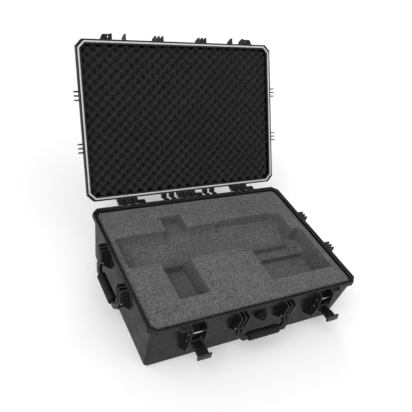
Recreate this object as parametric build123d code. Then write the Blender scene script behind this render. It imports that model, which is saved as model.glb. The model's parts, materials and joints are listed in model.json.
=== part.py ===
from build123d import *
import os
from math import atan2, cos, pi, sin

# Hard carry case with a foam interior, standing open on its floor.
# Frame: millimetres, X along the long side, -Y to the latch side, +Y to the hinge side, +Z up.
# Origin: centre of the base's underside. The rest pose has the lid open and the latches released.

# Shells
RIM_LENGTH = 800.0
RIM_WIDTH = 556.0
BASE_HEIGHT = 206.0
LID_HEIGHT = 60.0
LID_OPEN_ANGLE = 122.05
PARTING_GAP = 0.4
WALL = 3.5
RIM_BAND = 16.0
RIM_CORNER = 22.0
RIM_OVERHANG = 11.0
WALL_CORNER = 8.0
CAVITY_CORNER = 14.0
BODY_CORNER_RADIUS = 9.0
BASE_FLOOR_INSET = 27.0
LID_TOP_INSET = 18.0
LID_INNER_INSET = 16.0
FACE_EDGE_RADIUS = 8.0
SHELL_TOOTH = 1.5

# Gasket and the channel it seats in
GASKET_INSET = 4.5
GASKET_WIDTH = 7.4
GASKET_DEPTH = 5.0
GASKET_PROUD = 1.5
SEAT_CLEARANCE = 0.8

# Hinges
HINGE_BEHIND_RIM = 16.3
HINGE_BELOW_RIM = 4.8
HINGE_RADIUS = 6.5
HINGE_LENGTH = 103.0
HINGE_LEFT_ENDS = (-292.0, -51.5, 189.0)
HINGE_PIN_RADIUS = 2.5
KNUCKLE_GAP = 0.3
RUNNING_CLEARANCE = 0.05

# Latches, measured from the rim's front face and from the parting plane
LATCH_CENTRES = (-246.5, 246.5)
FLANGE_INNER_HALF = 23.5
FLANGE_THICKNESS = 4.5
LINK_PIVOT = (-9.6, -63.4)
STOP_PIN = (-9.6, -34.7)
HOOK_PIVOT = (-18.9, -56.2)
LATCH_PIN_RADIUS = 2.5
HOOK_PIN_RADIUS = 2.0
HOOK_LENGTH = 55.2
HOOK_NEAR_EDGE = 4.4
HOOK_THICKNESS = 3.4
HOOK_FACE_DROP = 7.1
HOOK_REST_TILTS = (3.0, -3.0)
HOOK_WIDTH = 39.0
HOOK_EDGE_RIB_START = 23.0
HOOK_LIP_WIDTH = 45.0
HOOK_LIP_HEIGHT = 7.2
HOOK_LIP_THICKNESS = 5.0
HOOK_TAIL = 5.5
KEEPER_SILL = 2.5
KEEPER_ROOF = 10.0
KEEPER_DEPTH = 3.2
LINK_TONGUE_WIDTH = 24.0
LINK_EYE_RADIUS = 4.6
HOOK_EYE_RADIUS = 3.8

# Padlock hasps
HASP_INNER_X = 273.0
HASP_OUTER_X = 306.0
HASP_REACH = 18.0
HASP_THICKNESS = 8.0
HASP_HOLE_RADIUS = 3.5
HASP_HOLE_X = 284.4
HASP_HOLE_REACH = 9.6

# Handles, in a local frame at the rim face
HANDLE_RIBS = (75.2, 89.7, 104.2)
HANDLE_RIB_THICKNESS = 4.0
HANDLE_PIVOT = (-15.1, -61.4)
HANDLE_PIN_RADIUS = 3.0
HANDLE_REACH = 38.5
HANDLE_REST_TILTS = {"front": 30.0, "left": 10.0, "right": 10.0}
BAIL_HALF_SPAN = 91.5
BAIL_ARM_WIDTH = 23.0
BAIL_BAR_WIDTH = 17.0
BAIL_THICKNESS = 13.0
BAIL_BEND = 19.0
LUG_WIDTH = 8.6
LUG_RADIUS = 7.0
GRIP_LENGTH = 116.0
GRIP_RADIUS = 13.4
GRIP_RING_RADIUS = 15.0
GRIP_RINGS = 11

# Pressure valve in the front wall
VALVE_X = 6.0
VALVE_DROP = 60.0
VALVE_FACE = 4.0
VALVE_INNER_FACE = 21.5
VALVE_BOSS_RADIUS = 22.0
VALVE_STEM_RADIUS = 10.0
VALVE_BORE_RADIUS = 4.0
KNOB_RADIUS = 13.0

# Foam
FOAM_CLEARANCE = 0.5
FOAM_BELOW_RIM = 8.0
PAD_THICKNESS = 20.0
LID_FOAM_BELOW_RIM = 4.0
TROUGH_RADIUS = 70.5
TROUGH_Y = 57.5
TROUGH_LEFT = -363.0
TROUGH_RIGHT = 320.0

FRONT_Y = -RIM_WIDTH / 2
REAR_Y = RIM_WIDTH / 2
HINGE_Y = REAR_Y + HINGE_BEHIND_RIM
HINGE_Z = BASE_HEIGHT - HINGE_BELOW_RIM
HINGE_AXIS = Axis((0, HINGE_Y, HINGE_Z), (1, 0, 0))
FRONT_FACE = Location((0, FRONT_Y, BASE_HEIGHT))
REAR_FACE = Location((0, REAR_Y, BASE_HEIGHT), (0, 0, 180))
LEFT_FACE = Location((-RIM_LENGTH / 2, 0, BASE_HEIGHT), (0, 0, -90))
RIGHT_FACE = Location((RIM_LENGTH / 2, 0, BASE_HEIGHT), (0, 0, 90))
HANDLE_FACES = {"front": FRONT_FACE, "left": LEFT_FACE, "right": RIGHT_FACE}


def outline(inset, corner, radius, z):
    """Rectangle of the rim pulled in by inset, with its corners cut at 45 degrees and rounded."""
    half_x = RIM_LENGTH / 2 - inset
    half_y = RIM_WIDTH / 2 - inset
    quarter = [(half_x, half_y - corner), (half_x - corner, half_y)]
    points = list(quarter)
    points += [(-x, y) for x, y in reversed(quarter)]
    points += [(-x, -y) for x, y in quarter]
    points += [(x, -y) for x, y in reversed(quarter)]
    face = Polygon(*points, align=None)
    return Pos(0, 0, z) * fillet(face.vertices(), radius)


def drafted_block(low_inset, high_inset, low_z, high_z, corner=CAVITY_CORNER):
    """Block between two heights whose outline changes evenly from one inset to the other."""
    low = outline(low_inset, corner, BODY_CORNER_RADIUS, low_z)
    high = outline(high_inset, corner, BODY_CORNER_RADIUS, high_z)
    return loft([low, high])


def rim_ring(outer_inset, inner_inset, low_z, high_z):
    """Closed band that follows the rim between two insets."""
    outer = outline(outer_inset, RIM_CORNER, 4, low_z)
    inner = outline(inner_inset, RIM_CORNER, 4, low_z)
    return extrude(outer - inner, high_z - low_z)


def side_plate(points, low_x, high_x):
    """Plate with a side profile given as (y, z) points, standing between two x values."""
    profile = Plane.YZ.offset(low_x) * Polygon(*points, align=None)
    return extrude(profile, high_x - low_x, dir=(1, 0, 0))


def cross_rod(centre, radius, low_x, high_x):
    """Round rod along X through the (y, z) centre."""
    return extrude(Plane.YZ.offset(low_x) * Pos(*centre) * Circle(radius), high_x - low_x)


def base_wall(z):
    """Inset of the base's outer wall at z below the parting plane."""
    share = (-z - RIM_BAND) / (BASE_HEIGHT - RIM_BAND)
    return RIM_OVERHANG + share * (BASE_FLOOR_INSET - RIM_OVERHANG)


def lid_wall(z):
    """Inset of the lid's outer wall at z above the parting plane."""
    share = (z - RIM_BAND) / (LID_HEIGHT - RIM_BAND)
    return RIM_OVERHANG + share * (LID_TOP_INSET - RIM_OVERHANG)


def arm_points(start, end, half_start, half_end):
    """Tapered bar between two (y, z) points, as its four corners."""
    angle = atan2(end[1] - start[1], end[0] - start[0]) + pi / 2
    return [
        (start[0] + half_start * cos(angle), start[1] + half_start * sin(angle)),
        (end[0] + half_end * cos(angle), end[1] + half_end * sin(angle)),
        (end[0] - half_end * cos(angle), end[1] - half_end * sin(angle)),
        (start[0] - half_start * cos(angle), start[1] - half_start * sin(angle)),
    ]


# Mouldings on the base's walls

def base_handle_ribs():
    """Three upright ribs at each end of a handle, with the pivot lobe near their feet."""
    profile = [
        (2, -0.5),
        (-24, -0.5),
        (-27, -3.5),
        (-27, -9),
        (HANDLE_PIVOT[0] - 6, HANDLE_PIVOT[1]),
        (HANDLE_PIVOT[0] - 4.2, HANDLE_PIVOT[1] - 4.2),
        (base_wall(-98), -98),
        (base_wall(-98) + SHELL_TOOTH, -98),
        (base_wall(-17) + SHELL_TOOTH, -17),
        (2, -14),
    ]
    ribs = Part()
    for centre in HANDLE_RIBS:
        for side in (-1, 1):
            middle = side * centre
            low_x = middle - HANDLE_RIB_THICKNESS / 2
            high_x = middle + HANDLE_RIB_THICKNESS / 2
            rib = side_plate(profile, low_x, high_x)
            rib += cross_rod(HANDLE_PIVOT, 6, low_x, high_x)
            ribs += rib - cross_rod(HANDLE_PIVOT, HANDLE_PIN_RADIUS, low_x, high_x)
    return ribs


def base_latch_bracket(centre):
    """Two flanges that stand out from the front wall, and a raised panel below them."""
    flange = [
        (2, -0.5),
        (-3, -0.5),
        (-21, -5.5),
        (-23, -9),
        (-27, -71),
        (-20, -106),
        (base_wall(-132), -132),
        (base_wall(-132) + SHELL_TOOTH, -132),
        (base_wall(-17) + SHELL_TOOTH, -17),
        (2, -14),
    ]
    foot = [
        (base_wall(-150), -150),
        (base_wall(-152) - 1.6, -152),
        (base_wall(-196) - 1.6, -196),
        (base_wall(-198), -198),
        (base_wall(-198) + SHELL_TOOTH, -198),
        (base_wall(-150) + SHELL_TOOTH, -150),
    ]
    inner_low = centre - FLANGE_INNER_HALF
    inner_high = centre + FLANGE_INNER_HALF
    bracket = side_plate(flange, inner_low - FLANGE_THICKNESS, inner_low)
    bracket += side_plate(flange, inner_high, inner_high + FLANGE_THICKNESS)
    bracket += side_plate(foot, inner_low + 4, inner_high - 4)
    for pin in (LINK_PIVOT, STOP_PIN):
        bracket -= cross_rod(pin, LATCH_PIN_RADIUS, centre - 40, centre + 40)
    return bracket


def hasp(side, low_z, high_z):
    """Padlock plate standing out from the rim, with its shackle hole."""
    points = [
        (HASP_INNER_X, 2),
        (HASP_INNER_X, -HASP_REACH),
        (HASP_OUTER_X - 4, -HASP_REACH),
        (HASP_OUTER_X, -HASP_REACH + 4),
        (HASP_OUTER_X + 8, 2),
    ]
    plate = Polygon(*[(side * x, y) for x, y in points], align=None)
    plate -= Pos(side * HASP_HOLE_X, -HASP_HOLE_REACH) * Circle(HASP_HOLE_RADIUS)
    return extrude(Pos(0, 0, low_z) * plate, high_z - low_z, dir=(0, 0, 1))


def rear_tabs(reach, low_z, high_z):
    """Four rounded bumper tabs behind the rim, two each side of the middle hinge."""
    tabs = Part()
    for centre in (-105, -73, 73, 105):
        tab = Pos(centre, -reach / 2 + 1) * Rectangle(20, reach + 2)
        outer = tab.vertices().sort_by(Axis.Y)[:2]
        tabs += extrude(Pos(0, 0, low_z) * fillet(outer, min(8, reach / 2)), high_z - low_z)
    return tabs


def valve_boss():
    """Flat round seat for the pressure valve, inside and outside the front wall."""
    start = Location((VALVE_X, VALVE_FACE, -VALVE_DROP), (90, 0, 0))
    depth = VALVE_INNER_FACE - VALVE_FACE
    return start * extrude(Circle(VALVE_BOSS_RADIUS), -depth)


def valve_hole():
    start = Location((VALVE_X, VALVE_FACE - 1, -VALVE_DROP), (90, 0, 0))
    return start * extrude(Circle(VALVE_STEM_RADIUS + 0.2), -(VALVE_INNER_FACE - VALVE_FACE + 2))


# Hinge knuckles

def knuckle_spans(left_end):
    """X spans of the lid's and the base's knuckles on one hinge, taking turns along its pin."""
    edges = (0, 16, 31, 47, 62, 78, HINGE_LENGTH)
    lid, base = [], []
    for index in range(len(edges) - 1):
        span = (left_end + edges[index], left_end + edges[index + 1] - 2 * KNUCKLE_GAP)
        (base if index % 2 else lid).append(span)
    return lid, base


def base_knuckles(left_end):
    """The base's share of one hinge: arms from the rim to the pin."""
    arm = [(-1, -0.5), (HINGE_BEHIND_RIM, HINGE_RADIUS - HINGE_BELOW_RIM)]
    arm += [(HINGE_BEHIND_RIM, -HINGE_RADIUS - HINGE_BELOW_RIM), (-1, -15)]
    centre = (HINGE_BEHIND_RIM, -HINGE_BELOW_RIM)
    knuckles = Part()
    for low_x, high_x in knuckle_spans(left_end)[1]:
        knuckle = side_plate(arm, low_x, high_x) + cross_rod(centre, HINGE_RADIUS, low_x, high_x)
        knuckles += knuckle - cross_rod(centre, HINGE_PIN_RADIUS, low_x, high_x)
    return Pos(0, REAR_Y, BASE_HEIGHT) * knuckles


def lid_knuckles(left_end):
    """The lid's share of one hinge, on a plate that is cut away around the base's knuckles."""
    arm = [
        (-1, PARTING_GAP),
        (-1, 15),
        (3, 15),
        (HINGE_BEHIND_RIM + 5.5, -HINGE_BELOW_RIM + 3.5),
        (HINGE_BEHIND_RIM, -HINGE_BELOW_RIM - HINGE_RADIUS),
        (9.5, -HINGE_BELOW_RIM),
        (0.5, PARTING_GAP),
    ]
    centre = (HINGE_BEHIND_RIM, -HINGE_BELOW_RIM)
    lid_spans, base_spans = knuckle_spans(left_end)
    low_x = left_end
    high_x = lid_spans[-1][1]
    plate = side_plate(arm, low_x, high_x) + cross_rod(centre, HINGE_RADIUS, low_x, high_x)
    for span in base_spans:
        gap = 2 * KNUCKLE_GAP
        far_y = HINGE_BEHIND_RIM + 9
        relief = [(0, -20), (0, 2.6), (far_y, 3), (far_y, -20)]
        plate -= side_plate(relief, span[0] - gap, span[1] + gap)
    plate -= cross_rod(centre, HINGE_PIN_RADIUS + RUNNING_CLEARANCE, low_x, high_x)
    return Pos(0, REAR_Y, BASE_HEIGHT) * plate


def make_hinge_pins():
    pins = Part()
    for left_end in HINGE_LEFT_ENDS:
        right_end = left_end + HINGE_LENGTH - 2 * KNUCKLE_GAP
        pins += cross_rod((HINGE_Y, HINGE_Z), HINGE_PIN_RADIUS, left_end, right_end)
    return pins


# Shells

def make_base_shell():
    rim_low = BASE_HEIGHT - RIM_BAND
    outer = drafted_block(BASE_FLOOR_INSET, RIM_OVERHANG, 0, rim_low, WALL_CORNER)
    outer = fillet(outer.edges().group_by(Axis.Z)[0], FACE_EDGE_RADIUS)
    shell = outer + extrude(outline(0, RIM_CORNER, 4, rim_low), RIM_BAND)
    for centre in LATCH_CENTRES:
        pocket = Box(2 * FLANGE_INNER_HALF, 9, 12.5, align=(Align.CENTER, Align.MIN, Align.MAX))
        shell -= Pos(centre, FRONT_Y - 1, BASE_HEIGHT - 4) * pocket
        shell += FRONT_FACE * base_latch_bracket(centre)
    for face in HANDLE_FACES.values():
        shell += face * base_handle_ribs()
    for side in (-1, 1):
        shell += FRONT_FACE * hasp(side, -0.5 - HASP_THICKNESS, -0.5)
    shell += REAR_FACE * rear_tabs(11, -13, -0.5)
    shell += FRONT_FACE * valve_boss()
    for left_end in HINGE_LEFT_ENDS:
        shell += base_knuckles(left_end)
    shell -= drafted_block(BASE_FLOOR_INSET + WALL, RIM_OVERHANG + WALL, WALL, rim_low)
    mouth = outline(RIM_OVERHANG + WALL, CAVITY_CORNER, BODY_CORNER_RADIUS, rim_low)
    shell -= extrude(mouth, RIM_BAND)
    shell += FRONT_FACE * (valve_boss() & Pos(VALVE_X, VALVE_INNER_FACE, 0) * Box(60, 14, 200))
    shell -= FRONT_FACE * valve_hole()
    seat_outer = GASKET_INSET - SEAT_CLEARANCE
    seat_inner = GASKET_INSET + GASKET_WIDTH + SEAT_CLEARANCE
    seat_depth = GASKET_PROUD + SEAT_CLEARANCE - PARTING_GAP
    shell -= rim_ring(seat_outer, seat_inner, BASE_HEIGHT - seat_depth, BASE_HEIGHT)
    for row in (-200, -120, 120, 200):
        shell -= Pos(0, row, 0) * Box(560, 8, 2)
    return shell


def lid_handle_ribs():
    """Ribs on the lid that carry on the lines of the base's handle ribs."""
    profile = [
        (2, 0.9),
        (-18, 0.9),
        (-19, 2.5),
        (-18, 11),
        (-11, 31),
        (lid_wall(49), 49),
        (lid_wall(49) + SHELL_TOOTH, 49),
        (lid_wall(17) + SHELL_TOOTH, 17),
        (2, 15),
    ]
    ribs = Part()
    for centre in HANDLE_RIBS:
        for side in (-1, 1):
            low_x = side * centre - HANDLE_RIB_THICKNESS / 2
            ribs += side_plate(profile, low_x, low_x + HANDLE_RIB_THICKNESS)
    return ribs


def lid_latch_flanges(centre):
    """Two triangular flanges that guide the hook's lip."""
    flange = [
        (2, 0.9),
        (-20.5, 0.9),
        (-21.6, 2.5),
        (-20, 12),
        (-12, 31),
        (lid_wall(46), 46),
        (lid_wall(46) + SHELL_TOOTH, 46),
        (lid_wall(17) + SHELL_TOOTH, 17),
        (2, 15),
    ]
    inner_low = centre - FLANGE_INNER_HALF
    inner_high = centre + FLANGE_INNER_HALF
    flanges = side_plate(flange, inner_low - FLANGE_THICKNESS, inner_low)
    return flanges + side_plate(flange, inner_high, inner_high + FLANGE_THICKNESS)


def lid_keeper_slot(centre):
    """Slot in the front of the lid's rim whose sill the hook's lip catches."""
    profile = [
        (-1, KEEPER_SILL),
        (KEEPER_DEPTH, KEEPER_SILL),
        (KEEPER_DEPTH, KEEPER_ROOF - 2),
        (-1, KEEPER_ROOF),
    ]
    return side_plate(profile, centre - FLANGE_INNER_HALF, centre + FLANGE_INNER_HALF)


def open_lid(closed_part):
    """Swing a part drawn in the closed lid to the open rest pose."""
    return closed_part.rotate(HINGE_AXIS, -LID_OPEN_ANGLE)


def make_lid_shell():
    rim_low = BASE_HEIGHT + PARTING_GAP
    wall_low = BASE_HEIGHT + RIM_BAND
    top = BASE_HEIGHT + LID_HEIGHT
    outer = drafted_block(RIM_OVERHANG, LID_TOP_INSET, wall_low, top, WALL_CORNER)
    outer = fillet(outer.edges().group_by(Axis.Z)[-1], FACE_EDGE_RADIUS)
    shell = outer + extrude(outline(0, RIM_CORNER, 4, rim_low), wall_low - rim_low)
    for face in HANDLE_FACES.values():
        shell += face * lid_handle_ribs()
    for centre in LATCH_CENTRES:
        shell -= FRONT_FACE * lid_keeper_slot(centre)
        shell += FRONT_FACE * lid_latch_flanges(centre)
    for side in (-1, 1):
        shell += FRONT_FACE * hasp(side, 0.9, 0.9 + HASP_THICKNESS)
    shell += REAR_FACE * rear_tabs(20, 0.9, 11)
    for left_end in HINGE_LEFT_ENDS:
        shell += lid_knuckles(left_end)
    for row in (-150, -75, 0, 75, 150):
        band = Pos(0, row, top) * RectangleRounded(560, 26, 12)
        shell += extrude(band, 1.6)
    shell -= drafted_block(LID_INNER_INSET, LID_TOP_INSET + WALL, rim_low, top - WALL)
    groove_outer = GASKET_INSET - 0.1
    groove_inner = GASKET_INSET + GASKET_WIDTH + 0.1
    shell -= rim_ring(groove_outer, groove_inner, rim_low, rim_low + GASKET_DEPTH)
    return open_lid(shell)


def make_lid_gasket():
    low_z = BASE_HEIGHT + PARTING_GAP - GASKET_PROUD
    high_z = BASE_HEIGHT + PARTING_GAP + GASKET_DEPTH
    return open_lid(rim_ring(GASKET_INSET, GASKET_INSET + GASKET_WIDTH, low_z, high_z))


def make_lid_foam():
    low_z = BASE_HEIGHT + LID_FOAM_BELOW_RIM
    high_z = BASE_HEIGHT + LID_HEIGHT - WALL - FOAM_CLEARANCE
    low_inset = LID_INNER_INSET + FOAM_CLEARANCE + 0.5
    high_inset = LID_TOP_INSET + WALL + FOAM_CLEARANCE
    return open_lid(drafted_block(low_inset, high_inset, low_z, high_z))


# Base foam

def make_base_foam_pad():
    inset = BASE_FLOOR_INSET + WALL + FOAM_CLEARANCE
    low_z = WALL
    return drafted_block(inset, inset, low_z, low_z + PAD_THICKNESS)


def pocket(low_x, high_x, low_y, high_y, floor_z):
    """Straight-sided pocket open at the foam's top."""
    size = (high_x - low_x, high_y - low_y, BASE_HEIGHT - floor_z)
    corner = (Align.MIN, Align.MIN, Align.MIN)
    return Pos(low_x, low_y, floor_z) * Box(*size, align=corner)


def round_trough():
    """Half-round trough along X, with straight walls at its mouth."""
    mouth_z = BASE_HEIGHT - FOAM_BELOW_RIM - 10
    trough = cross_rod((TROUGH_Y, mouth_z), TROUGH_RADIUS, TROUGH_LEFT, TROUGH_RIGHT)
    low_y = TROUGH_Y - TROUGH_RADIUS
    high_y = TROUGH_Y + TROUGH_RADIUS
    return trough + pocket(TROUGH_LEFT, TROUGH_RIGHT, low_y, high_y, mouth_z)


def make_base_foam_insert():
    low_z = WALL + PAD_THICKNESS
    rim_low = BASE_HEIGHT - RIM_BAND
    high_z = BASE_HEIGHT - FOAM_BELOW_RIM
    top_inset = RIM_OVERHANG + WALL + FOAM_CLEARANCE
    low_inset = base_wall(low_z - BASE_HEIGHT) + WALL + FOAM_CLEARANCE
    foam = drafted_block(low_inset, top_inset, low_z, rim_low)
    foam += drafted_block(top_inset, top_inset, rim_low, high_z)
    foam -= round_trough()
    foam -= pocket(-254, -146, -173, 0, 110)
    foam -= pocket(95, 361, -180, -30, 92)
    foam -= pocket(60, 355, -31, 0, 120)
    foam -= pocket(-170, -85, 110, 200, 150)
    foam -= pocket(300, 361, -31, 34, 130)
    foam -= pocket(40, 289, 120, 138, 150)
    valve_room = Box(56, 16, 56, align=(Align.CENTER, Align.MIN, Align.CENTER))
    foam -= Pos(VALVE_X, FRONT_Y + base_wall(-VALVE_DROP), BASE_HEIGHT - VALVE_DROP) * valve_room
    return foam


# Latches

def make_latch_link(centre):
    """Short swinging link between the base's pin and the hook."""
    low_x = centre - LINK_TONGUE_WIDTH / 2
    high_x = centre + LINK_TONGUE_WIDTH / 2
    web = arm_points(LINK_PIVOT, HOOK_PIVOT, LINK_EYE_RADIUS, HOOK_EYE_RADIUS)
    link = side_plate(web, low_x, high_x)
    link += cross_rod(LINK_PIVOT, LINK_EYE_RADIUS, low_x, high_x)
    link += cross_rod(HOOK_PIVOT, HOOK_EYE_RADIUS, low_x, high_x)
    link -= cross_rod(LINK_PIVOT, LATCH_PIN_RADIUS + RUNNING_CLEARANCE, low_x, high_x)
    link -= cross_rod(HOOK_PIVOT, HOOK_PIN_RADIUS, low_x, high_x)
    return FRONT_FACE * link


def make_latch_hook(centre, rest_tilt):
    """Hook plate swung out from its pivot: two ears, a plate with raised edges and a lip."""
    inner_face = -HOOK_FACE_DROP
    outer_face = inner_face - HOOK_THICKNESS
    plate = [
        (-HOOK_NEAR_EDGE, inner_face),
        (-HOOK_LENGTH - 1, inner_face),
        (-HOOK_LENGTH - 1, outer_face),
        (-HOOK_NEAR_EDGE, outer_face),
    ]
    edge_rib = [
        (-HOOK_EDGE_RIB_START, inner_face),
        (-HOOK_EDGE_RIB_START - 4, inner_face + 2.4),
        (-HOOK_LENGTH + 6, inner_face + 2.4),
        (-HOOK_LENGTH, inner_face),
    ]
    ear_plate = [
        (HOOK_EYE_RADIUS, -1),
        (-HOOK_EYE_RADIUS, 1),
        (-HOOK_NEAR_EDGE - 4.5, inner_face),
        (-HOOK_NEAR_EDGE - 4.5, outer_face),
        (-HOOK_NEAR_EDGE, outer_face),
        (-1, inner_face),
    ]
    lip_outer = -HOOK_LENGTH - HOOK_LIP_THICKNESS
    lip = [
        (-HOOK_LENGTH, inner_face),
        (-HOOK_LENGTH, HOOK_LIP_HEIGHT - 1),
        (-HOOK_LENGTH - 1, HOOK_LIP_HEIGHT),
        (lip_outer + 1.6, HOOK_LIP_HEIGHT),
        (lip_outer, HOOK_LIP_HEIGHT - 3),
        (lip_outer - 1.5, inner_face),
        (lip_outer - 1.5, outer_face - HOOK_TAIL + 2),
        (lip_outer + 1, outer_face - HOOK_TAIL),
        (-HOOK_LENGTH - 1, outer_face - HOOK_TAIL),
        (-HOOK_LENGTH + 3, outer_face + 1),
    ]
    half = HOOK_WIDTH / 2
    half_lip = HOOK_LIP_WIDTH / 2
    ear_inner = LINK_TONGUE_WIDTH / 2 + 0.5
    hook = side_plate(plate, -half, half)
    lip_block = side_plate(lip, -half_lip, half_lip)
    hook += chamfer(lip_block.edges().filter_by(Axis.X, reverse=True), 0.8)
    for side in (-1, 1):
        edge = sorted((side * half, side * (half - 3)))
        ear = sorted((side * half, side * ear_inner))
        hook += side_plate(edge_rib, *edge)
        hook += side_plate(ear_plate, *ear) + cross_rod((0, 0), HOOK_EYE_RADIUS, *ear)
        hook -= cross_rod((0, 0), HOOK_PIN_RADIUS + RUNNING_CLEARANCE, *ear)
    swung = Rot(rest_tilt, 0, 0) * hook
    return FRONT_FACE * (Pos(centre, *HOOK_PIVOT) * swung)


def headed_rod(centre, radius, low_x, high_x):
    """Pin along X with rounded ends."""
    rod = cross_rod(centre, radius, low_x, high_x)
    return fillet(rod.edges().filter_by(GeomType.CIRCLE), radius * 0.4)


def make_bracket_pins(pivot):
    """One pin through each latch bracket's flanges."""
    reach = FLANGE_INNER_HALF + FLANGE_THICKNESS + 0.8
    pins = Part()
    for centre in LATCH_CENTRES:
        pins += headed_rod(pivot, LATCH_PIN_RADIUS, centre - reach, centre + reach)
    return FRONT_FACE * pins


def make_hook_pin(centre):
    half = HOOK_WIDTH / 2
    return FRONT_FACE * headed_rod(HOOK_PIVOT, HOOK_PIN_RADIUS, centre - half, centre + half)


# Handles, drawn hanging straight down from a pivot at the origin and then swung out

def swing_handle(face, tilt, part):
    swung = Rot(-tilt, 0, 0) * part
    return face * (Pos(0, *HANDLE_PIVOT) * swung)


def bail_outline(half_span, depth, bend, top_z):
    """U-shaped outline in the XZ plane, open upwards, with cut lower corners."""
    points = [
        (-half_span, top_z),
        (-half_span, -depth + bend),
        (-half_span + bend, -depth),
        (half_span - bend, -depth),
        (half_span, -depth + bend),
        (half_span, top_z),
    ]
    face = Polygon(*points, align=None)
    lower = face.vertices().sort_by(Axis.Y)[:4]
    return fillet(lower, bend * 0.4)


def make_bail_local():
    """Rigid U of a handle, with two pivot lugs at each end."""
    arm_top = -16
    outer = bail_outline(
        BAIL_HALF_SPAN + BAIL_ARM_WIDTH / 2, HANDLE_REACH + BAIL_BAR_WIDTH / 2, BAIL_BEND + 2, arm_top
    )
    inner = bail_outline(
        BAIL_HALF_SPAN - BAIL_ARM_WIDTH / 2, HANDLE_REACH - BAIL_BAR_WIDTH / 2, BAIL_BEND - 10, arm_top
    )
    u_face = Plane.XZ * (outer - inner)
    bail = extrude(u_face, BAIL_THICKNESS / 2, both=True)
    long_edges = bail.edges().filter_by(lambda edge: abs(edge.tangent_at(0.5).Y) < 0.1)
    bail = fillet(long_edges.filter_by(lambda edge: edge.center().Z < arm_top - 0.1), 3.5)
    gap_centre = (HANDLE_RIBS[0] + HANDLE_RIBS[1]) / 2
    lug_centres = (gap_centre, gap_centre + HANDLE_RIBS[2] - HANDLE_RIBS[1])
    lug = [(-LUG_RADIUS, 0), (LUG_RADIUS, 0), (BAIL_THICKNESS / 2 - 0.5, arm_top - 2)]
    lug += [(-BAIL_THICKNESS / 2 + 0.5, arm_top - 2)]
    for centre in lug_centres:
        for side in (-1, 1):
            low_x = side * centre - LUG_WIDTH / 2
            high_x = side * centre + LUG_WIDTH / 2
            bail += side_plate(lug, low_x, high_x) + cross_rod((0, 0), LUG_RADIUS, low_x, high_x)
    return bail - cross_rod((0, 0), HANDLE_PIN_RADIUS + RUNNING_CLEARANCE, -120, 120)


def make_grip_local(bail):
    """Soft ringed sleeve around the bail's bar."""
    low_x = -GRIP_LENGTH / 2
    centre = (0, -HANDLE_REACH)
    grip = cross_rod(centre, GRIP_RADIUS, low_x, -low_x)
    pitch = GRIP_LENGTH / GRIP_RINGS
    for index in range(GRIP_RINGS):
        start = low_x + (index + 0.2) * pitch
        ring = cross_rod(centre, GRIP_RING_RADIUS, start, start + 0.6 * pitch)
        grip += fillet(ring.edges().filter_by(GeomType.CIRCLE), 1.4)
    return grip - bail


def make_handle_pins():
    """Two pins per handle, each through one group of three ribs."""
    low = HANDLE_RIBS[0] - HANDLE_RIB_THICKNESS / 2 - 0.8
    high = HANDLE_RIBS[2] + HANDLE_RIB_THICKNESS / 2 + 0.8
    pins = Part()
    for face in HANDLE_FACES.values():
        for side in (-1, 1):
            ends = sorted((side * low, side * high))
            pins += face * headed_rod(HANDLE_PIVOT, HANDLE_PIN_RADIUS, *ends)
    return pins


# Pressure valve, drawn along the outward normal of the front wall

def on_valve_axis(depth, part):
    """Place a part drawn along +Z so that it points out of the case from the given depth."""
    return FRONT_FACE * (Location((VALVE_X, depth, -VALVE_DROP), (90, 0, 0)) * part)


def make_valve_seal():
    ring = Circle(17) - Circle(VALVE_STEM_RADIUS + 0.2)
    return on_valve_axis(VALVE_FACE, extrude(ring, 1.6))


def make_valve_body():
    flange = extrude(Circle(19), 4)
    flange = chamfer(flange.faces().sort_by(Axis.Z)[-1].edges(), 1.2)
    stem = extrude(Circle(VALVE_STEM_RADIUS), -(VALVE_INNER_FACE - VALVE_FACE + 8))
    body = flange + stem - Pos(0, 0, 1) * extrude(Circle(KNOB_RADIUS + 1), 4)
    body -= extrude(Circle(VALVE_BORE_RADIUS), 30, both=True)
    return on_valve_axis(VALVE_FACE - 1.6, body)


def make_valve_knob():
    disc = extrude(Circle(KNOB_RADIUS), 9)
    disc = fillet(disc.faces().sort_by(Axis.Z)[-1].edges(), 2)
    for index in range(10):
        disc -= Rot(0, 0, 36 * index) * Pos(KNOB_RADIUS + 1.5, 0, 4) * Cylinder(2.6, 16)
    disc -= Pos(0, 0, 9) * Box(16, 2.4, 2.4)
    stem = extrude(Circle(VALVE_BORE_RADIUS - RUNNING_CLEARANCE), -12)
    return on_valve_axis(VALVE_FACE - 2.9, disc + stem)


def make_valve_nut():
    nut = extrude(RegularPolygon(16, 6) - Circle(VALVE_STEM_RADIUS), -6)
    return on_valve_axis(VALVE_INNER_FACE, nut)


bail_local = make_bail_local()
grip_local = make_grip_local(bail_local)

os.makedirs("parts", exist_ok=True)

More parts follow.
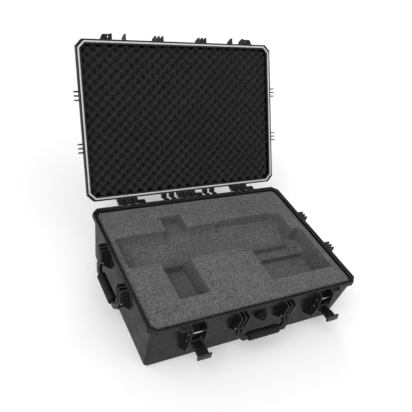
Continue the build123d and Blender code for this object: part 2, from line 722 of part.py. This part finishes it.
nodes = {
    "base_shell": make_base_shell(),
    "lid_shell": make_lid_shell(),
    "lid_gasket": make_lid_gasket(),
    "lid_foam": make_lid_foam(),
    "base_foam_insert": make_base_foam_insert(),
    "base_foam_pad": make_base_foam_pad(),
    "hinge_pins": make_hinge_pins(),
    "latch_link_pins": make_bracket_pins(LINK_PIVOT),
    "latch_stop_pins": make_bracket_pins(STOP_PIN),
    "handle_pins": make_handle_pins(),
    "valve_seal": make_valve_seal(),
    "valve_body": make_valve_body(),
    "valve_knob": make_valve_knob(),
    "valve_nut": make_valve_nut(),
}
for side_name, centre_x, tilt in zip(("left", "right"), LATCH_CENTRES, HOOK_REST_TILTS):
    nodes["latch_link_" + side_name] = make_latch_link(centre_x)
    nodes["latch_hook_" + side_name] = make_latch_hook(centre_x, tilt)
    nodes["latch_hook_pin_" + side_name] = make_hook_pin(centre_x)
for face_name, face_location in HANDLE_FACES.items():
    tilt = HANDLE_REST_TILTS[face_name]
    nodes["handle_bail_" + face_name] = swing_handle(face_location, tilt, bail_local)
    nodes["handle_grip_" + face_name] = swing_handle(face_location, tilt, grip_local)

for name, part in nodes.items():
    export_step(part, "parts/" + name + ".step")
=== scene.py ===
import json
import math

import bmesh
import bpy
from mathutils import Matrix, Vector, noise


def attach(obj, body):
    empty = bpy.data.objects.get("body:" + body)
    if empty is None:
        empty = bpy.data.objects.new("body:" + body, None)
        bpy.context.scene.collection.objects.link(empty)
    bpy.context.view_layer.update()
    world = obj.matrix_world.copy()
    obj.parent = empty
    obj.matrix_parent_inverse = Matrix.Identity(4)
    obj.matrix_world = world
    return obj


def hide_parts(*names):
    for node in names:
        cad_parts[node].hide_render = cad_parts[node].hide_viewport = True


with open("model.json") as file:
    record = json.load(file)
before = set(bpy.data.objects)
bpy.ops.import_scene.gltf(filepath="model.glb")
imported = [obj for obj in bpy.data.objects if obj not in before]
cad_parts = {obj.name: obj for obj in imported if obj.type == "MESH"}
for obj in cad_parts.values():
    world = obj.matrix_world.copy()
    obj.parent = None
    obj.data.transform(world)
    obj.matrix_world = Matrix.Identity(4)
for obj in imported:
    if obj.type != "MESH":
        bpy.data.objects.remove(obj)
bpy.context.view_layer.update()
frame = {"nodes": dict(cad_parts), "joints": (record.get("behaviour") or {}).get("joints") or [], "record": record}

MM = 0.001

# Egg-crate foam in the lid, with the lid shut.
PEAK_PITCH_X = 40.4 * MM
PEAK_PITCH_Y = 37.6 * MM
FIRST_PEAK = (370 * MM, -209 * MM)
PEAK_FULLNESS = 0.8  # power of the wave: below 1 the peaks are fuller than the valleys
PEAK_SETBACK = 0.6 * MM
EGG_DEPTH = 27 * MM
EGG_GRID = 2.7 * MM
TEAR_DEPTH = 0.5 * MM
TEAR_SCALE = 160.0
FOAM_CORNER = 14 * MM
FOAM_DRAFT = 5 * MM

# Cut foam in the base.
BLOCK_VOXEL = 3.5 * MM
FLOOR_VOXEL = 6 * MM
SOFTEN_PASSES = 2
WOBBLE_DEPTH = 0.5 * MM
WOBBLE_SCALE = 45.0
WOBBLE_SETBACK = 0.6  # share of the wobble depth by which the surface sinks on average

# Gasket cord in the lid's groove.
GROOVE_WIDTH = 7.4 * MM
CORD_WIDTH = 5.6 * MM
CORD_CROWN = 1.6 * MM
CORD_BACK_GAP = 0.3 * MM
CORD_CORNER_CUT = 22 * MM
CORD_BEND_RADIUS = 4 * MM
CORD_CROWN_STEPS = 12
CORD_BEND_STEPS = 6

# Camera and studio.
CAMERA_AZIMUTH = math.radians(-36.975)
CAMERA_ELEVATION = math.radians(36.683)
CAMERA_ROLL = math.radians(16.44)
CAMERA_DISTANCE = 1.9791
CAMERA_TARGET = Vector((0.0305, 0.2142, 0.2064))
SENSOR_WIDTH = 36.0
FOCAL_SHARE = 1.2638  # focal length over image width
FLOOR_SIZE = 40
FLOOR_GLOW = 0.14
BEHIND_THE_CASE = (0.55, 0.75, 0.35)


# ---------------------------------------------------------------- material helpers

class Shader:
    """A node-based material with short calls for the nodes used here."""

    def __init__(self, name, specular=0.5):
        self.material = bpy.data.materials.new(name)
        self.material.use_nodes = True
        self.nodes = self.material.node_tree.nodes
        self.links = self.material.node_tree.links
        self.bsdf = self.nodes["Principled BSDF"]
        self.set("Specular IOR Level", specular)
        self.coords = self.nodes.new("ShaderNodeTexCoord").outputs["Object"]

    def set(self, name, value):
        """Set one input of the surface shader."""
        self.bsdf.inputs[name].default_value = value

    def add(self, kind, inputs=None, **settings):
        """Add a node. Each input takes a value or another node's output."""
        node = self.nodes.new(kind)
        for key, value in settings.items():
            setattr(node, key, value)
        for key, value in (inputs or {}).items():
            if isinstance(value, bpy.types.NodeSocket):
                self.links.new(value, node.inputs[key])
            else:
                node.inputs[key].default_value = value
        return node

    def noise(self, scale, detail=2.0, roughness=0.5, distortion=0.0, vector=None):
        inputs = {
            "Vector": vector or self.coords,
            "Scale": scale,
            "Detail": detail,
            "Roughness": roughness,
            "Distortion": distortion,
        }
        return self.add("ShaderNodeTexNoise", inputs).outputs["Fac"]

    def cells(self, scale, feature="F1"):
        inputs = {"Vector": self.coords, "Scale": scale}
        return self.add("ShaderNodeTexVoronoi", inputs, feature=feature).outputs["Distance"]

    def span(self, value, low, high, out_low=0.0, out_high=1.0):
        """Map the range low to high onto out_low to out_high."""
        inputs = {
            "Value": value,
            "From Min": low,
            "From Max": high,
            "To Min": out_low,
            "To Max": out_high,
        }
        return self.add("ShaderNodeMapRange", inputs).outputs["Result"]

    def math(self, operation, first, second):
        node = self.add("ShaderNodeMath", {0: first, 1: second}, operation=operation)
        return node.outputs["Value"]

    def weighted(self, first, second, share):
        """Sum of two values, with this share of the first."""
        first_part = self.math("MULTIPLY", first, share)
        second_part = self.math("MULTIPLY", second, 1 - share)
        return self.math("ADD", first_part, second_part)

    def mix(self, factor, first, second):
        """First colour where the factor is 0 and second colour where it is 1."""
        inputs = {0: factor, 6: first, 7: second}
        return self.add("ShaderNodeMix", inputs, data_type="RGBA").outputs[2]

    def bump(self, height, strength, distance, normal=None):
        inputs = {"Height": height, "Strength": strength, "Distance": distance}
        if normal is not None:
            inputs["Normal"] = normal
        return self.add("ShaderNodeBump", inputs).outputs["Normal"]

    def rounded(self, radius):
        return self.add("ShaderNodeBevel", {"Radius": radius}, samples=4).outputs["Normal"]

    def edges(self, radius):
        """0 on flat areas and up to 1 along edges."""
        plain = self.add("ShaderNodeNewGeometry").outputs["Normal"]
        soft = self.rounded(radius)
        facing = self.add("ShaderNodeVectorMath", {0: plain, 1: soft}, operation="DOT_PRODUCT")
        return self.span(facing.outputs["Value"], 0.995, 0.85)

    def painted_edge_highlights(self, radius, patch_scale, low, high):
        """Painted highlight along edges, in patches which fade in as the noise goes from low to high."""
        patches = self.span(self.noise(patch_scale, detail=3.0), low, high)
        return self.math("MULTIPLY", self.edges(radius), patches)

    def finish(self, colour, roughness, normal=None):
        self.links.new(colour, self.bsdf.inputs["Base Color"])
        self.links.new(roughness, self.bsdf.inputs["Roughness"])
        if normal is not None:
            self.links.new(normal, self.bsdf.inputs["Normal"])
        return self.material


def grey(level, tint=0.0):
    """Linear grey, a little cooler with a positive tint."""
    return (level * (1 - tint), level, level * (1 + tint), 1.0)


# ---------------------------------------------------------------- materials

def shell_plastic():
    """Moulded polypropylene with a fine leather grain, and a painted highlight that makes its edges a little
    paler.
    """
    shader = Shader("shell_plastic", specular=0.2)
    patches = shader.span(shader.noise(7.0, detail=4.0), 0.35, 0.65)
    body = shader.mix(patches, grey(0.0035), grey(0.0070))
    # Painted highlight: the edges are paler, in patches.
    edge_highlight = shader.painted_edge_highlights(1.8 * MM, 60.0, 0.2, 0.5)
    colour = shader.mix(edge_highlight, body, grey(0.13))
    leather = shader.cells(900.0, feature="SMOOTH_F1")
    grain = shader.weighted(leather, shader.noise(2600.0), 0.7)
    normal = shader.bump(grain, 0.35, 0.25 * MM, shader.rounded(1.1 * MM))
    roughness = shader.span(shader.noise(30.0, detail=4.0), 0.3, 0.7, 0.40, 0.52)
    return shader.finish(colour, roughness, normal)


def hardware_plastic():
    """Smoother, blacker glass-filled nylon of the latches, handles and valve."""
    shader = Shader("hardware_plastic", specular=0.3)
    flow = shader.noise(55.0, detail=3.0, distortion=0.6)
    body = shader.mix(shader.span(flow, 0.3, 0.7), grey(0.0035), grey(0.0055))
    # Painted highlight: the edges are paler, in patches.
    edge_highlight = shader.painted_edge_highlights(1.0 * MM, 120.0, 0.25, 0.6)
    colour = shader.mix(edge_highlight, body, grey(0.10))
    normal = shader.bump(shader.noise(1800.0), 0.2, 0.2 * MM, shader.rounded(0.8 * MM))
    roughness = shader.span(flow, 0.3, 0.7, 0.24, 0.36)
    return shader.finish(colour, roughness, normal)


def grip_rubber():
    """Soft matt rubber of the handle grips, with some dust."""
    shader = Shader("grip_rubber", specular=0.25)
    dust = shader.noise(90.0, detail=5.0)
    colour = shader.mix(shader.span(dust, 0.4, 0.75), grey(0.004), grey(0.009))
    normal = shader.bump(shader.noise(1400.0, detail=3.0), 0.3, 0.3 * MM)
    roughness = shader.span(dust, 0.3, 0.7, 0.42, 0.6)
    return shader.finish(colour, roughness, normal)


def seal_rubber():
    """Dull black rubber of the valve's seal."""
    shader = Shader("seal_rubber", specular=0.35)
    colour = shader.mix(shader.noise(200.0, detail=3.0), grey(0.012), grey(0.02))
    normal = shader.bump(shader.noise(1500.0), 0.2, 0.2 * MM)
    roughness = shader.span(shader.noise(80.0), 0.3, 0.7, 0.55, 0.7)
    return shader.finish(colour, roughness, normal)


def gasket_silicone():
    """Pale silicone cord, slightly waxy, with faint handling marks."""
    shader = Shader("gasket_silicone", specular=0.45)
    shader.set("Subsurface Weight", 0.15)
    shader.set("Subsurface Radius", (3 * MM, 3 * MM, 3 * MM))
    marks = shader.noise(25.0, detail=5.0, roughness=0.6)
    colour = shader.mix(shader.span(marks, 0.35, 0.7), grey(0.62), grey(0.52, 0.01))
    normal = shader.bump(shader.noise(900.0), 0.15, 0.2 * MM)
    roughness = shader.span(marks, 0.3, 0.7, 0.38, 0.5)
    return shader.finish(colour, roughness, normal)


def open_foam(name, dark, light, cell_scale, depth):
    """Open-cell foam: torn cells with pale walls, and hollows darkened with painted shade."""
    shader = Shader(name, specular=0.12)
    large = shader.cells(cell_scale)
    small = shader.cells(cell_scale * 2.3)
    torn = shader.weighted(large, small, 0.6)
    clumps = shader.noise(cell_scale * 0.42, detail=3.0, roughness=0.6)
    painted_hollow_shade = shader.weighted(torn, clumps, 0.45)
    # Painted shade: darker where the cell bumps are low.
    colour = shader.mix(shader.span(painted_hollow_shade, 0.30, 0.62), grey(dark), grey(light))
    tone = shader.span(shader.noise(9.0, detail=3.0), 0.3, 0.7, 0.93, 1.07)
    toned = shader.add("ShaderNodeVectorMath", {0: colour, "Scale": tone}, operation="SCALE")
    lumpy = shader.bump(clumps, 0.6, depth * 2)
    normal = shader.bump(torn, 0.9, depth, lumpy)
    roughness = shader.span(small, 0.1, 0.5, 0.85, 1.0)
    return shader.finish(toned.outputs["Vector"], roughness, normal)


def pin_steel():
    """Plain steel pin stock with fine turning marks and a dull film."""
    shader = Shader("pin_steel")
    shader.set("Metallic", 1.0)
    film = shader.noise(150.0, detail=4.0)
    colour = shader.mix(shader.span(film, 0.35, 0.7), grey(0.72), grey(0.45))
    turned = {"Vector": shader.coords, "Scale": (60.0, 1800.0, 1800.0)}
    stretched = shader.add("ShaderNodeMapping", turned).outputs["Vector"]
    marks = shader.noise(1.0, detail=3.0, vector=stretched)
    normal = shader.bump(marks, 0.15, 0.1 * MM)
    roughness = shader.span(film, 0.3, 0.7, 0.2, 0.38)
    return shader.finish(colour, roughness, normal)


def floor_paper():
    """Plain pale paper, with a slight glow that lightens the shadows on it."""
    shader = Shader("floor_paper", specular=0.05)
    shader.set("Emission Color", grey(1.0))
    shader.set("Emission Strength", FLOOR_GLOW)
    fibres = shader.noise(40.0, detail=4.0)
    colour = shader.mix(fibres, grey(0.90), grey(0.93))
    return shader.finish(colour, shader.span(fibres, 0.2, 0.8, 0.85, 0.95))


# ---------------------------------------------------------------- mesh helpers

def register(piece, material, body, replaced):
    """Shade a piece smooth, give it its material and put it in the place of a CAD node."""
    for polygon in piece.data.polygons:
        polygon.use_smooth = True
    piece.data.materials.clear()
    piece.data.materials.append(material)
    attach(piece, body)
    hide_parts(replaced)


def mesh_piece(name, vertices, faces):
    """A new object from vertices and faces, with its faces turned outwards."""
    mesh = bpy.data.meshes.new(name)
    mesh.from_pydata([tuple(vertex) for vertex in vertices], [], faces)
    mesh.validate()
    edit = bmesh.new()
    edit.from_mesh(mesh)
    bmesh.ops.recalc_face_normals(edit, faces=edit.faces)
    edit.to_mesh(mesh)
    edit.free()
    piece = bpy.data.objects.new(name, mesh)
    bpy.context.scene.collection.objects.link(piece)
    return piece


def apply_modifiers(piece):
    """Replace a piece's mesh with the result of its modifiers."""
    graph = bpy.context.evaluated_depsgraph_get()
    final = bpy.data.meshes.new_from_object(piece.evaluated_get(graph))
    piece.modifiers.clear()
    piece.data = final


def lid_swing():
    """The turn that takes the lid from shut to its open rest position."""
    hinge = next(joint for joint in frame["joints"] if joint["name"] == "lid_hinge")
    point = Vector(hinge["pos_m"])
    angle = math.radians(hinge["range_deg"][1])
    turn = Matrix.Rotation(-angle, 4, "X")
    return Matrix.Translation(point) @ turn @ Matrix.Translation(-point)


OPEN_LID = lid_swing()
CLOSE_LID = OPEN_LID.inverted()


def closed_corners(node):
    """Lowest and highest corners of a lid node with the lid swung shut."""
    points = [CLOSE_LID @ vertex.co for vertex in frame["nodes"][node].data.vertices]
    low = Vector([min(point[axis] for point in points) for axis in range(3)])
    high = Vector([max(point[axis] for point in points) for axis in range(3)])
    return low, high


# ---------------------------------------------------------------- lid foam

def egg_height(x, y):
    """0 in a valley and 1 on a peak of the staggered egg-crate pattern."""
    wave_x = math.cos(2 * math.pi * (x - FIRST_PEAK[0]) / PEAK_PITCH_X)
    wave_y = math.cos(2 * math.pi * (y - FIRST_PEAK[1]) / PEAK_PITCH_Y)
    return (0.5 + 0.5 * wave_x * wave_y) ** PEAK_FULLNESS


def grid_border(rows, columns):
    """Indices around the edge of a grid of vertices."""
    stride = columns + 1
    border = list(range(stride))
    border += [row * stride + columns for row in range(1, rows + 1)]
    border += [rows * stride + column for column in range(columns - 1, -1, -1)]
    border += [row * stride for row in range(rows - 1, 0, -1)]
    return border


def make_egg_foam(material):
    """Slab with an egg-crate face, cut corners and a flat back that is a little smaller."""
    low, high = closed_corners("lid_foam")
    half_x = (high.x - low.x) / 2
    half_y = (high.y - low.y) / 2
    middle_y = (high.y + low.y) / 2
    columns = int(2 * half_x / EGG_GRID)
    rows = int(2 * half_y / EGG_GRID)
    vertices = []
    for row in range(rows + 1):
        y = -half_y + 2 * half_y * row / rows
        cut = max(0.0, abs(y) - (half_y - FOAM_CORNER))
        reach = half_x - cut
        for column in range(columns + 1):
            x = -reach + 2 * reach * column / columns
            tear = noise.noise(Vector((x, y, 0.0)) * TEAR_SCALE) * TEAR_DEPTH
            valley = 1 - egg_height(x, middle_y + y)
            z = low.z + EGG_DEPTH * valley + PEAK_SETBACK + tear
            narrow = 1 - FOAM_DRAFT * valley / 2 / half_y
            vertices.append(Vector((x * narrow, middle_y + y * narrow, z)))

    stride = columns + 1
    faces = []
    for row in range(rows):
        for first in range(row * stride, row * stride + columns):
            faces.append((first, first + 1, first + stride + 1, first + stride))

    border = grid_border(rows, columns)
    back = len(vertices)
    back_x = half_x - FOAM_DRAFT
    back_y = half_y - FOAM_DRAFT
    for index in border:
        x = max(-back_x, min(back_x, vertices[index].x))
        y = max(-back_y, min(back_y, vertices[index].y - middle_y))
        vertices.append(Vector((x, middle_y + y, high.z)))
    count = len(border)
    for step in range(count):
        after = (step + 1) % count
        faces.append((border[step], border[after], back + after, back + step))
    faces.append(tuple(range(back, back + count)))

    piece = mesh_piece("lid_egg_foam", [OPEN_LID @ vertex for vertex in vertices], faces)
    register(piece, material, "lid", "lid_foam")


# ---------------------------------------------------------------- base foam

def make_soft_copy(name, node, material, voxel):
    """Soft copy of a cut foam solid, with rounded edges and a slightly uneven surface."""
    piece = bpy.data.objects.new(name, frame["nodes"][node].data.copy())
    bpy.context.scene.collection.objects.link(piece)
    remesh = piece.modifiers.new("remesh", "REMESH")
    remesh.mode = "VOXEL"
    remesh.voxel_size = voxel
    soften = piece.modifiers.new("soften", "SMOOTH")
    soften.iterations = SOFTEN_PASSES
    soften.factor = 0.5
    apply_modifiers(piece)
    normals = [vertex.normal.copy() for vertex in piece.data.vertices]
    for vertex, normal in zip(piece.data.vertices, normals):
        offset = noise.noise(vertex.co * WOBBLE_SCALE) - WOBBLE_SETBACK
        vertex.co += normal * offset * WOBBLE_DEPTH
    register(piece, material, "base", node)


# ---------------------------------------------------------------- gasket

def cord_path(half_x, half_y):
    """Points along a rectangle with cut corners and rounded bends, counter-clockwise."""
    cut_x = half_x - CORD_CORNER_CUT
    cut_y = half_y - CORD_CORNER_CUT
    corners = [
        Vector((half_x, cut_y)), Vector((cut_x, half_y)),
        Vector((-cut_x, half_y)), Vector((-half_x, cut_y)),
        Vector((-half_x, -cut_y)), Vector((-cut_x, -half_y)),
        Vector((cut_x, -half_y)), Vector((half_x, -cut_y)),
    ]
    path = []
    for index, point in enumerate(corners):
        before = (corners[index - 1] - point).normalized()
        after = (corners[(index + 1) % len(corners)] - point).normalized()
        half_angle = before.angle(after) / 2
        reach = CORD_BEND_RADIUS / math.tan(half_angle)
        inwards = (before + after).normalized()
        centre = point + inwards * (CORD_BEND_RADIUS / math.sin(half_angle))
        start = point + before * reach - centre
        end = point + after * reach - centre
        for step in range(CORD_BEND_STEPS + 1):
            share = step / CORD_BEND_STEPS
            direction = (start * (1 - share) + end * share).normalized()
            path.append(centre + direction * CORD_BEND_RADIUS)
    return path


def cord_section(low_z, high_z):
    """Outline of the cord as distances across and heights: a crown, then the flat back."""
    section = []
    for step in range(CORD_CROWN_STEPS + 1):
        angle = math.pi * step / CORD_CROWN_STEPS
        across = -math.cos(angle) * CORD_WIDTH / 2
        section.append((across, low_z + CORD_CROWN - math.sin(angle) * CORD_CROWN))
    back_z = high_z - CORD_BACK_GAP
    return section + [(CORD_WIDTH / 2, back_z), (-CORD_WIDTH / 2, back_z)]


def make_gasket(material):
    """Crowned cord lying in the lid's groove."""
    low, high = closed_corners("lid_gasket")
    middle_y = (low.y + high.y) / 2
    half_x = (high.x - low.x) / 2 - GROOVE_WIDTH / 2
    half_y = (high.y - low.y) / 2 - GROOVE_WIDTH / 2
    path = cord_path(half_x, half_y)
    section = cord_section(low.z, high.z)
    count = len(path)
    size = len(section)
    vertices, faces = [], []
    for index, point in enumerate(path):
        along = (path[(index + 1) % count] - path[index - 1]).normalized()
        outward = Vector((along.y, -along.x))
        for across, z in section:
            place = point + outward * across
            vertices.append(Vector((place.x, middle_y + place.y, z)))
    for index in range(count):
        here = index * size
        ahead = (index + 1) % count * size
        for step in range(size):
            other = (step + 1) % size
            faces.append((here + step, here + other, ahead + other, ahead + step))

    piece = mesh_piece("lid_gasket_cord", [OPEN_LID @ vertex for vertex in vertices], faces)
    register(piece, material, "lid", "lid_gasket")


# ---------------------------------------------------------------- studio

def add_floor():
    bpy.ops.mesh.primitive_plane_add(size=FLOOR_SIZE, location=(0, 0, 0))
    floor = bpy.context.object
    floor.name = "floor"
    floor.data.materials.append(floor_paper())


def add_sun(name, from_direction, spread, strength):
    """Very soft distant light, like a large softbox."""
    light = bpy.data.lights.new(name, "SUN")
    light.angle = math.radians(spread)
    light.energy = strength
    lamp = bpy.data.objects.new(name, light)
    bpy.context.scene.collection.objects.link(lamp)
    lamp.rotation_euler = Vector(from_direction).to_track_quat("Z", "Y").to_euler()


def add_world(front_level, back_level):
    """Studio surround that looks white, and that lights the case less from behind."""
    world = bpy.data.worlds.new("studio")
    bpy.context.scene.world = world
    world.use_nodes = True
    nodes = world.node_tree.nodes
    links = world.node_tree.links
    coords = nodes.new("ShaderNodeTexCoord")
    facing = nodes.new("ShaderNodeVectorMath")
    facing.operation = "DOT_PRODUCT"
    facing.inputs[1].default_value = BEHIND_THE_CASE
    level = nodes.new("ShaderNodeMapRange")
    level.interpolation_type = "SMOOTHSTEP"
    level.inputs["From Min"].default_value = 0.1
    level.inputs["From Max"].default_value = 0.8
    level.inputs["To Min"].default_value = front_level
    level.inputs["To Max"].default_value = back_level
    links.new(coords.outputs["Generated"], facing.inputs[0])
    links.new(facing.outputs["Value"], level.inputs["Value"])
    seen = nodes.new("ShaderNodeLightPath")
    brightest = nodes.new("ShaderNodeMath")
    brightest.operation = "MAXIMUM"
    links.new(level.outputs["Result"], brightest.inputs[0])
    links.new(seen.outputs["Is Camera Ray"], brightest.inputs[1])
    background = nodes["Background"]
    background.inputs["Color"].default_value = grey(1.0)
    links.new(brightest.outputs["Value"], background.inputs["Strength"])


def add_camera():
    """Camera that looks down at the open case from its front left, rolled a little."""
    back = Vector((
        math.sin(CAMERA_AZIMUTH) * math.cos(CAMERA_ELEVATION),
        -math.cos(CAMERA_AZIMUTH) * math.cos(CAMERA_ELEVATION),
        math.sin(CAMERA_ELEVATION),
    ))
    level = (-back).cross(Vector((0, 0, 1))).normalized()
    upright = level.cross(-back)
    right = level * math.cos(CAMERA_ROLL) + upright * math.sin(CAMERA_ROLL)
    up = upright * math.cos(CAMERA_ROLL) - level * math.sin(CAMERA_ROLL)
    data = bpy.data.cameras.new("camera")
    data.sensor_width = SENSOR_WIDTH
    data.lens = SENSOR_WIDTH * FOCAL_SHARE
    camera = bpy.data.objects.new("camera", data)
    bpy.context.scene.collection.objects.link(camera)
    rotation = Matrix((right, up, back)).transposed().to_4x4()
    camera.matrix_world = Matrix.Translation(CAMERA_TARGET + back * CAMERA_DISTANCE) @ rotation
    bpy.context.scene.camera = camera


# ---------------------------------------------------------------- build

SLOT_MATERIALS = {
    "shell_plastic": shell_plastic(),
    "latch_plastic": hardware_plastic(),
    "grip_rubber": grip_rubber(),
    "seal_rubber": seal_rubber(),
    "gasket_silicone": gasket_silicone(),
    "base_foam": open_foam("base_foam", 0.004, 0.195, cell_scale=430.0, depth=1.4 * MM),
    "lid_foam": open_foam("lid_foam", 0.003, 0.036, cell_scale=300.0, depth=1.0 * MM),
    "steel": pin_steel(),
}

for subpart in frame["record"]["subparts"]:
    node = frame["nodes"][subpart["node"]]
    node.data.materials.clear()
    node.data.materials.append(SLOT_MATERIALS[subpart["material_slot"]])

make_egg_foam(SLOT_MATERIALS["lid_foam"])
make_gasket(SLOT_MATERIALS["gasket_silicone"])
make_soft_copy("base_foam_block", "base_foam_insert", SLOT_MATERIALS["base_foam"], BLOCK_VOXEL)
make_soft_copy("base_foam_floor", "base_foam_pad", SLOT_MATERIALS["base_foam"], FLOOR_VOXEL)

add_floor()
add_world(front_level=1.0, back_level=0.35)
add_sun("key", from_direction=(-0.55, -0.25, 0.8), spread=30, strength=0.9)
add_sun("rim_light", from_direction=(0.2, 0.75, 0.6), spread=12, strength=0.35)
add_camera()
bpy.context.scene.view_settings.view_transform = "Standard"
